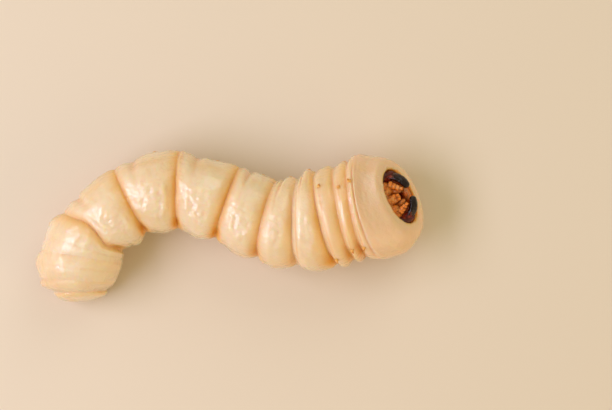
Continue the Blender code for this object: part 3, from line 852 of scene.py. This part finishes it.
def makeMandible(name, side):
    flip = np.array((side, 1.0, 1.0))
    path = curve(*(np.array(mandible[key]) * flip for key in ("root", "bow", "tip")), mandible["steps"])
    t = np.linspace(0, 1, mandible["steps"])
    taper = np.sqrt(np.clip(1 - t ** mandible["taper"], 0, 1))
    place, soft = mandible["end"]
    share = mandible["tipShare"] + (1 - mandible["tipShare"]) * taper
    share = share * np.sqrt(np.clip(1 - np.clip((t - place) / soft, 0, 1) ** 2, 0.02, 1))
    for place, width, depth in mandible["grooves"]:
        share = share - share * depth * bell(t - place, width)
    sizes = [(mandible["half"][0] * s, mandible["half"][1] * s) for s in share]
    rings = sweep(path, sizes, mandible["sides"])
    strength, quick = mandible["tone"]
    return headMesh(name, rings, {"tone": strength * smoothStep(t * quick)})


lobeForm = {
    "sides": 40,
    "square": 2.4,
    "shoulder": 0.45,  # share of the height that the dome takes
    "dome": 2.2,
    "steps": 9,
    "last": 0.98,
    "least": 0.05,
}


# A rounded lobe that stands on the head: an oval wall that closes in a low dome.
def lobe(name, centre, half, root, top, lean=(0.0, 0.0), tone=0.0, fringe=0.0):
    angle = 2 * np.pi * np.arange(lobeForm["sides"]) / lobeForm["sides"]
    sine, cosine = np.sin(angle), np.cos(angle)
    square, shoulder = lobeForm["square"], lobeForm["shoulder"]
    outline = (np.abs(sine) ** square + np.abs(cosine) ** square) ** (-1 / square)
    arc = [math.sin(t * math.pi / 2) for t in np.linspace(0, lobeForm["last"], lobeForm["steps"])]
    levels = [(0.0, 0.0), (0.5 * (1 - shoulder), 0.0)]
    levels += [(1 - shoulder + shoulder * into, into) for into in arc]
    rings, hairs = [], [fringe * into for level, into in levels]
    for level, into in levels:
        share = max(lobeForm["least"], math.sqrt(max(0.0, 1 - into ** lobeForm["dome"])))
        z = root + (top - root) * level
        x = centre[0] + lean[0] * (z - root) + half[0] * share * outline * sine
        y = centre[1] + lean[1] * (z - root) + half[1] * share * outline * cosine
        rings.append(np.stack([x, y, 0 * x + z], 1))
    return headMesh(name, rings, {"tone": [tone] * len(rings), "hairs": hairs})


feelerForm = {
    "sides": 24,
    # place on the joint, share of its radius, tone
    "barrel": (
        (0.0, 0.90, 0.45), (0.12, 0.97, 0.30), (0.30, 1.0, 0.08),
        (0.62, 0.99, 0.0), (0.84, 0.95, 0.05), (0.97, 0.85, 0.25),
    ),
    "tip": (0.45, 0.6),  # share of the last radius, tone
}


# A feeler of several joints, each a little barrel with a dark ring at its foot.
def feeler(name, base, tip, radii, fringe=0.2):
    base, tip = np.array(base, float), np.array(tip, float)
    spots = [
        ((joint + t) / len(radii), radius * swell, tone)
        for joint, radius in enumerate(radii)
        for t, swell, tone in feelerForm["barrel"]
    ]
    swell, tone = feelerForm["tip"]
    spots.append((1.0, radii[-1] * swell, tone))
    places = [base + (tip - base) * share for share, radius, tone in spots]
    rings = sweep(places, [(radius, radius) for share, radius, tone in spots], feelerForm["sides"])
    tones = [tone for share, radius, tone in spots]
    return headMesh(name, rings, {"tone": tones, "hairs": [fringe] * len(tones)})


mouthParts = {
    "clypeus": dict(centre=(0.0, -1.08), half=(0.92, 0.20), root=-0.5, top=0.02),
    "labrum": dict(centre=(0.0, -0.98), half=(0.42, 0.30), root=-0.5, top=0.46, lean=(0.0, 0.80)),
    "stipes": dict(centre=(0.82, 0.78), half=(0.46, 0.42), root=-0.5, top=0.02, lean=(-0.1, -0.1)),
    "galea": dict(centre=(0.58, 0.40), half=(0.17, 0.20), root=-0.4, top=0.40, lean=(-0.32, -0.25)),
    "mentum": dict(centre=(0.0, 1.06), half=(0.62, 0.22), root=-0.5, top=-0.04),
    "prementum": dict(centre=(0.0, 0.74), half=(0.34, 0.28), root=-0.5, top=0.10),
    "tongue": dict(centre=(0.0, 0.26), half=(0.27, 0.25), root=-0.45, top=0.18),
    "palp_right": dict(base=(1.00, 0.52, -0.06), tip=(0.34, 0.18, 0.60), radii=(0.24, 0.21, 0.17, 0.11)),
    "palp_left": dict(base=(0.92, 0.66, -0.06), tip=(0.58, 0.32, 0.60), radii=(0.23, 0.20, 0.16, 0.10)),
    "labiumPalp": dict(base=(0.17, 0.74, -0.05), tip=(0.13, 0.48, 0.36), radii=(0.14, 0.09)),
    "antenna": dict(base=(1.30, -0.70, -0.40), tip=(1.22, -0.74, 0.20), radii=(0.16, 0.10, 0.05)),
}


def mirrored(sizes, side):
    made = dict(sizes)
    for key in ("centre", "base", "tip", "lean"):
        if key in made:
            made[key] = (made[key][0] * side, *made[key][1:])
    return made


def makeMouthParts():
    made = {"head_capsule": makeHeadShell()}
    clypeus = lobe("clypeus", **mouthParts["clypeus"], tone=0.15)
    labrum = lobe("upperLip", **mouthParts["labrum"], tone=0.35, fringe=1.0)
    made["labrum"] = joined("labrumPiece", [clypeus, labrum])
    lower = [
        lobe("mentum", **mouthParts["mentum"], tone=0.3),
        lobe("prementum", **mouthParts["prementum"], tone=0.2, fringe=0.5),
        lobe("tongue", **mouthParts["tongue"], tone=-0.2, fringe=0.5),
    ]
    for side in (1, -1):
        lower.append(feeler("labiumPalp", **mirrored(mouthParts["labiumPalp"], side)))
    made["labium"] = joined("labiumPiece", lower)
    for word, side in (("right", 1), ("left", -1)):
        made["mandible_" + word] = makeMandible("mandiblePiece_" + word, side)
        pieces = [
            lobe("stipes", **mirrored(mouthParts["stipes"], side), tone=0.25, fringe=0.4),
            lobe("galea", **mirrored(mouthParts["galea"], side), tone=0.3, fringe=1.0),
            feeler("palp", **mirrored(mouthParts["palp_" + word], side)),
        ]
        made["maxilla_" + word] = joined("maxillaPiece_" + word, pieces)
        antenna = mirrored(mouthParts["antenna"], side)
        made["antenna_" + word] = feeler("antennaPiece_" + word, **antenna, fringe=0.1)
    print("head:", len(made), "pieces")
    return made


# Light, pale and dark colour, how far patches shift them towards the dark one, roughness and coat.
hornLook = {
    "shell": ((0.34, 0.05, 0.014), (0.48, 0.15, 0.03), (0.08, 0.007, 0.005), 0.35, 0.34, 0.2),
    "jaw": ((0.26, 0.022, 0.012), (0.42, 0.09, 0.025), (0.012, 0.004, 0.003), 0.5, 0.22, 0.05),
    "amber": ((0.76, 0.20, 0.015), (0.76, 0.30, 0.07), (0.12, 0.016, 0.004), 0.3, 0.38, 0.15),
    "palp": ((0.80, 0.42, 0.19), (0.86, 0.55, 0.32), (0.24, 0.045, 0.010), 0.25, 0.38, 0.2),
    "lip": ((0.70, 0.15, 0.010), (0.76, 0.22, 0.03), (0.26, 0.04, 0.008), 0.25, 0.32, 0.2),
    "leg": ((0.92, 0.50, 0.13), (0.92, 0.56, 0.20), (0.56, 0.17, 0.018), 0.25, 0.40, 0.1),
}


# What all horn has.
# patches: size, detail, limits, range; relief: size, detail, height
hornForm = {
    "pale": (0.3, 3, 0.48, 0.6),
    "shift": (0.2, 4, 0.38, 0.62),
    "speck": (0.1, 2, 0.56, 0.72, (0.0, 0.35)),
    "gloss": (0.09, 3, 0.3, 0.7),
    "glossRange": 0.1,
    "relief": ((0.15, 2, 0.045), (0.06, 2, 0.010)),
}


def hornMaterial(name, light, pale, dark, patch, roughness, coat):
    look = Look(name)
    flesh = look.blend(look.patches(*hornForm["pale"]), light, pale)
    shift = look.patches(*hornForm["shift"], (-patch, patch), roughness=0.65)
    speck = look.patches(*hornForm["speck"])
    tone = look.math("ADD", look.math("ADD", look.mark("tone"), shift), speck)
    look.feed("Base Color", look.blend(look.spread(tone, 0.0, 1.0), flesh, dark))
    low, high = roughness - hornForm["glossRange"], roughness + hornForm["glossRange"]
    look.feed("Roughness", look.patches(*hornForm["gloss"], (low, high)))
    look.set(Coat_Weight=coat, Coat_Roughness=0.1, Specular_IOR_Level=0.28)
    normal = None
    for size, detail, height in hornForm["relief"]:
        normal = look.bump(look.grain(size, detail), height, normal)
    look.feed("Normal", normal)
    return look.material


hornMaterials = {key: hornMaterial(key + "Horn", *values) for key, values in hornLook.items()}
mouthFinish = {
    "head": ("shell", "horn_brown"),
    "labrum": ("lip", "horn_amber"),
    "labium": ("amber", "horn_amber"),
    "mandible": ("jaw", "horn_black"),
    "maxilla": ("amber", "horn_amber"),
    "antenna": ("palp", "horn_amber"),
}
mouthPieces = makeMouthParts()
for node, piece in mouthPieces.items():
    kind, slot = mouthFinish[node.split("_")[0]]
    piece.data.materials.append(hornMaterials[kind])
    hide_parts(node)
    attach(piece, "root")


# Legs: tiny, four joints and a claw, rooted in a swelling of the skin.
leg = {
    "radii": (0.115, 0.092, 0.07, 0.05),
    "length": 0.22,
    "sunk": 0.08,
    "lean": 0.5,  # towards the head, for each unit of length
    "foot": 1.25,  # share of the first radius where it is sunk
    # place on a joint, share of its radius, darkness
    "joint": ((0.08, 0.84, 0.5), (0.3, 1.0, 0.0), (0.65, 0.97, 0.0), (0.92, 0.78, 0.4)),
    "tone": (0.18, 0.4),  # more for each joint, and for its darkness
    "claw": 0.07,
    "clawForm": ((0.25, 0.028), (0.6, 0.018), (1.0, 0.005)),  # place, radius
    "clawBend": 0.6,
    "sides": 18,
}


def makeLeg(name, index, u, offBelly, side):
    foot, normal, forward = skinPlace(index, u, angleAt(index, side, offBelly))
    way = unit(normal + forward * leg["lean"])
    spots = [(foot - normal * leg["sunk"], leg["radii"][0] * leg["foot"], 0.0)]
    step = leg["length"] / len(leg["radii"])
    later, darker = leg["tone"]
    for joint, radius in enumerate(leg["radii"]):
        for t, swell, dark in leg["joint"]:
            spots.append((foot + way * step * (joint + t), radius * swell, later * joint + darker * dark))
    bend = unit(way + forward * leg["clawBend"])
    for t, radius in leg["clawForm"]:
        spots.append((foot + way * leg["length"] + bend * leg["claw"] * t, radius, 1.0))
    places, radii, tones = zip(*spots)
    rings = sweep(places, [(radius, radius) for radius in radii], leg["sides"], edge=np.cross(way, forward))
    return meshOfRings(name, rings, {"tone": tones}, [way] * len(rings))


for word, index, u, offBelly in legRoots:
    for sideWord, side in (("right", 1), ("left", -1)):
        node = f"leg_{word}_{sideWord}"
        piece = makeLeg("legPiece_" + node, index, u, offBelly, side)
        piece.data.materials.append(hornMaterials["leg"])
        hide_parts(node)
        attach(piece, "root")
print("legs:", 2 * len(legRoots))


# Spiracles: a raised oval rim round a dark slit, on both flanks.
spiracle = {
    "parts": (1, 3, 4, 5, 6, 7, 8, 9, 10),
    "u": 0.62,
    "offBelly": 104.0,
    "half": (0.10, 0.15),
    "rim": (0.28, 0.03, 0.35),  # width, height, tone
    "slit": ((0.05, -0.02, 1.0), (0.5, -0.015, 1.0), (0.72, 0.0, 0.9)),  # share outward, height, tone
    "root": (1.25, -0.08, 0.0),
    "firstSize": 1.4,
    "sides": 28,
}


def spiracleSection():
    width, height, tone = spiracle["rim"]
    turns = np.linspace(math.pi * 0.9, -0.3, 8)
    rim = [(1.0 + width * math.cos(turn), height * math.sin(turn), tone) for turn in turns]
    return [*spiracle["slit"], *rim, spiracle["root"]]


def makeSpiracle(index, side):
    place, normal, forward = skinPlace(index, spiracle["u"], angleAt(index, side, spiracle["offBelly"]))
    across = np.cross(normal, forward)
    turn = 2 * np.pi * np.arange(spiracle["sides"]) / spiracle["sides"]
    long, wide = np.array(spiracle["half"]) * (spiracle["firstSize"] if index == 1 else 1.0)
    section = spiracleSection()
    rings = [
        place
        + forward * (long * out * np.cos(turn))[:, None]
        + across * (wide * out * np.sin(turn))[:, None]
        + normal * height
        for out, height, tone in section
    ]
    tones = [tone for out, height, tone in section]
    return meshOfRings("spiracle", rings, {"tone": tones}, [forward] * len(rings))


spiracles = [makeSpiracle(index, side) for index in spiracle["parts"] for side in (1, -1)]
print("spiracles:", len(spiracles))
spiracles = joined("spiracles", spiracles)
spiracles.data.materials.append(hornMaterials["leg"])
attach(spiracles, "root")


# Hair: tapered bent spikes set over a piece where its "hairs" mark says, lying the way of its "lay" mark.
hairForm = {
    "sides": 4,
    "steps": 4,
    "bend": 0.22,
    "shortest": 0.45,
    "patch": 0.003,  # part of its body's unwrapped map that a hair covers
}


class Tree:
    def __init__(self, name):
        self.group = bpy.data.node_groups.new(name, "GeometryNodeTree")
        self.start = self.group.nodes.new("NodeGroupInput")

    def input(self, name, kind):
        made = self.group.interface.new_socket(name, in_out="INPUT", socket_type=kind)
        return self.start.outputs[made.name]

    def add(self, kind, inputs=None, **options):
        made = self.group.nodes.new(kind)
        for key, value in options.items():
            setattr(made, key, value)
        for key, value in (inputs or {}).items():
            if isinstance(value, bpy.types.NodeSocket):
                self.group.links.new(value, made.inputs[key])
            else:
                made.inputs[key].default_value = value
        return made

    def mark(self, name, kind):
        made = self.add("GeometryNodeInputNamedAttribute", {"Name": name}, data_type=kind)
        return made.outputs["Attribute"]

    def store(self, geometry, name, value, kind, domain):
        inputs = {"Geometry": geometry, "Name": name, "Value": value}
        made = self.add("GeometryNodeStoreNamedAttribute", inputs, data_type=kind, domain=domain)
        return made.outputs["Geometry"]

    def math(self, kind, a, b):
        return self.add("ShaderNodeMath", {0: a, 1: b}, operation=kind).outputs["Value"]

    def vectorMath(self, kind, *values):
        key = "Scale" if kind == "SCALE" else 1
        return self.add("ShaderNodeVectorMath", dict(zip((0, key), values)), operation=kind).outputs["Vector"]


def hairTree():
    tree = Tree("hair")
    body = tree.input("Body", "NodeSocketGeometry")
    density, length, thick, rise, stray, patch = (
        tree.input(name, "NodeSocketFloat")
        for name in ("Density", "Length", "Thickness", "Rise", "Stray", "Patch")
    )
    seed = tree.input("Seed", "NodeSocketInt")
    material = tree.input("Material", "NodeSocketMaterial")
    tree.group.interface.new_socket("Geometry", in_out="OUTPUT", socket_type="NodeSocketGeometry")

    dense = tree.math("MULTIPLY", tree.mark("hairs", "FLOAT"), density)
    roots = tree.add("GeometryNodeDistributePointsOnFaces", {"Mesh": body, "Density": dense, "Seed": seed})
    normal = roots.outputs["Normal"]
    unwrap = tree.mark("unwrap", "FLOAT_VECTOR")
    points = tree.store(roots.outputs["Points"], "rootPlace", unwrap, "FLOAT_VECTOR", "POINT")

    cone = tree.add(
        "GeometryNodeMeshCone",
        {
            "Vertices": hairForm["sides"], "Side Segments": hairForm["steps"],
            "Radius Top": 0.0, "Radius Bottom": thick, "Depth": length,
        },
    )
    spot = tree.add("GeometryNodeInputPosition").outputs["Position"]
    height = tree.add("ShaderNodeSeparateXYZ", {"Vector": spot}).outputs["Z"]
    share = tree.math("DIVIDE", height, length)
    bend = tree.math("MULTIPLY", tree.math("MULTIPLY", share, height), hairForm["bend"])
    offset = tree.add("ShaderNodeCombineXYZ", {"X": bend}).outputs["Vector"]
    spike = tree.add("GeometryNodeSetPosition", {"Geometry": cone.outputs["Mesh"], "Offset": offset})
    spike = spike.outputs["Geometry"]
    spike = tree.store(spike, "spikePlace", cone.outputs["UV Map"], "FLOAT_VECTOR", "CORNER")

    ends = {0: (-1, -1, -1), 1: (1, 1, 1), "Seed": seed}
    random = tree.add("FunctionNodeRandomValue", ends, data_type="FLOAT_VECTOR")
    way = tree.vectorMath("ADD", tree.vectorMath("SCALE", normal, rise), tree.mark("lay", "FLOAT_VECTOR"))
    way = tree.vectorMath("ADD", way, tree.vectorMath("SCALE", random.outputs["Value"], stray))
    turned = tree.add("FunctionNodeAlignRotationToVector", {"Vector": way}, axis="Z").outputs["Rotation"]
    ends = {2: hairForm["shortest"], 3: 1.0, "Seed": seed}
    sizes = tree.add("FunctionNodeRandomValue", ends, data_type="FLOAT").outputs[1]
    placed = tree.add(
        "GeometryNodeInstanceOnPoints",
        {"Points": points, "Instance": spike, "Rotation": turned, "Scale": sizes},
    ).outputs["Instances"]
    solid = tree.add("GeometryNodeRealizeInstances", {"Geometry": placed}).outputs["Geometry"]
    middled = tree.vectorMath("SUBTRACT", tree.mark("spikePlace", "FLOAT_VECTOR"), (0.5, 0.5, 0.0))
    middled = tree.vectorMath("SCALE", middled, patch)
    baked = tree.vectorMath("ADD", tree.mark("rootPlace", "FLOAT_VECTOR"), middled)
    solid = tree.store(solid, "OFBake", baked, "FLOAT2", "CORNER")
    solid = tree.add("GeometryNodeSetMaterial", {"Geometry": solid, "Material": material}).outputs["Geometry"]
    tree.add("NodeGroupOutput", {"Geometry": solid})
    return tree.group


hairNodes = hairTree()


def makeHair(name, body, sizes, material):
    grown = newObject(name, body.data.copy())
    grower = grown.modifiers.new("hair", "NODES")
    grower.node_group = hairNodes
    values = {**dict(zip(hairKeys, sizes)), "Material": material, "Patch": hairForm["patch"]}
    for socket in hairNodes.interface.items_tree:
        if socket.name in values:
            grower[socket.identifier] = values[socket.name]
    solid = grown.evaluated_get(bpy.context.evaluated_depsgraph_get())
    mesh = bpy.data.meshes.new_from_object(solid)
    bpy.data.objects.remove(grown)
    for key in ("rootPlace", "spikePlace", "unwrap"):
        if key in mesh.attributes:
            mesh.attributes.remove(mesh.attributes[key])
    mesh.name = name
    piece = newObject(name, mesh)
    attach(piece, "root")
    print(name, len(mesh.polygons), "faces")
    return piece


def hairMaterial(name, dull, bright):
    look = Look(name)
    look.feed("Base Color", look.blend(look.patches(0.5, 2, 0.35, 0.65), dull, bright))
    look.set(Roughness=0.4, Coat_Weight=0.2)
    return look.material


setaMaterial = hairMaterial("setaHair", (0.80, 0.50, 0.24), (0.92, 0.74, 0.48))
bristleMaterial = hairMaterial("bristleHair", (0.62, 0.32, 0.10), (0.85, 0.60, 0.28))
hairKeys = ("Density", "Length", "Thickness", "Rise", "Stray", "Seed")
hairSizes = {
    "skin": (4.5e6, 0.00026, 0.000007, 0.75, 0.35, 3),
    "labrum": (130e6, 0.00026, 0.000008, 0.35, 0.25, 4),
    "maxilla_right": (50e6, 0.00022, 0.000007, 0.4, 0.3, 5),
    "maxilla_left": (50e6, 0.00022, 0.000007, 0.4, 0.3, 6),
    "labium": (40e6, 0.00018, 0.000007, 0.4, 0.3, 7),
}
for key, sizes in hairSizes.items():
    body = skinPiece if key == "skin" else mouthPieces[key]
    material = setaMaterial if key == "skin" else bristleMaterial
    hair = makeHair("hair_" + key, body, sizes, material)


# Floor, lights and camera
floor = {"size": 900.0, "colour": (0.74, 0.61, 0.47), "roughness": 0.7}


def makeFloor():
    look = Look("paleFloor")
    look.set(Base_Color=(*floor["colour"], 1.0), Roughness=floor["roughness"])
    mesh = bpy.data.meshes.new("floor")
    half = floor["size"] / 2 * mm
    corners = [(-half, -half, 0), (half, -half, 0), (half, half, 0), (-half, half, 0)]
    mesh.from_pydata(corners, [], [(0, 1, 2, 3)])
    mesh.materials.append(look.material)
    newObject("floor", mesh)


# Name, place, size, power and colour of the lights, which look at the middle of the floor.
lights = [
    ("windowLight", (-118, -14, 118), (170, 60), 0.25, (0.77, 0.76, 1.0)),
    ("upperFill", (60, 120, 100), (100, 100), 0.05, (0.95, 0.97, 1.0)),
    ("warmFill", (120, -80, 50), (120, 120), 0.055, (1.0, 0.72, 0.42)),
]
surroundings = {"colour": (0.95, 0.91, 0.595, 1.0), "strength": 0.54}


def makeLights():
    for name, place, size, power, colour in lights:
        data = bpy.data.lights.new(name, "AREA")
        data.shape = "RECTANGLE"
        data.size, data.size_y = size[0] * mm, size[1] * mm
        data.energy = power
        data.color = colour
        lamp = newObject(name, data)
        lamp.location = Vector(place) * mm
        lamp.rotation_euler = (-lamp.location).to_track_quat("-Z", "Y").to_euler()
    world = bpy.data.worlds.new("studio")
    world.use_nodes = True
    background = world.node_tree.nodes["Background"]
    background.inputs["Color"].default_value = surroundings["colour"]
    background.inputs["Strength"].default_value = surroundings["strength"]
    bpy.context.scene.world = world


camera = {
    "pixel": 0.065,  # millimetres of the object under one pixel of the picture
    "frameWidth": 612,
    "aim": (5.01, 1.39, 2.8),
    "lens": 110.0,
    "sensor": 36.0,
    "clip": (0.005, 10.0),
}


def makeCamera():
    data = bpy.data.cameras.new("camera")
    data.lens = camera["lens"]
    data.sensor_width = camera["sensor"]
    data.clip_start, data.clip_end = camera["clip"]
    viewed = camera["pixel"] * camera["frameWidth"]
    distance = viewed * camera["lens"] / camera["sensor"]
    eye = newObject("camera", data)
    x, y, z = camera["aim"]
    eye.location = Vector((x, y, z + distance)) * mm
    bpy.context.scene.camera = eye


makeFloor()
makeLights()
makeCamera()
bpy.context.scene.view_settings.view_transform = "Standard"
print("stage, lights and camera set")

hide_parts(*[part["name"] for part in trunk])
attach(skinPiece, "root")
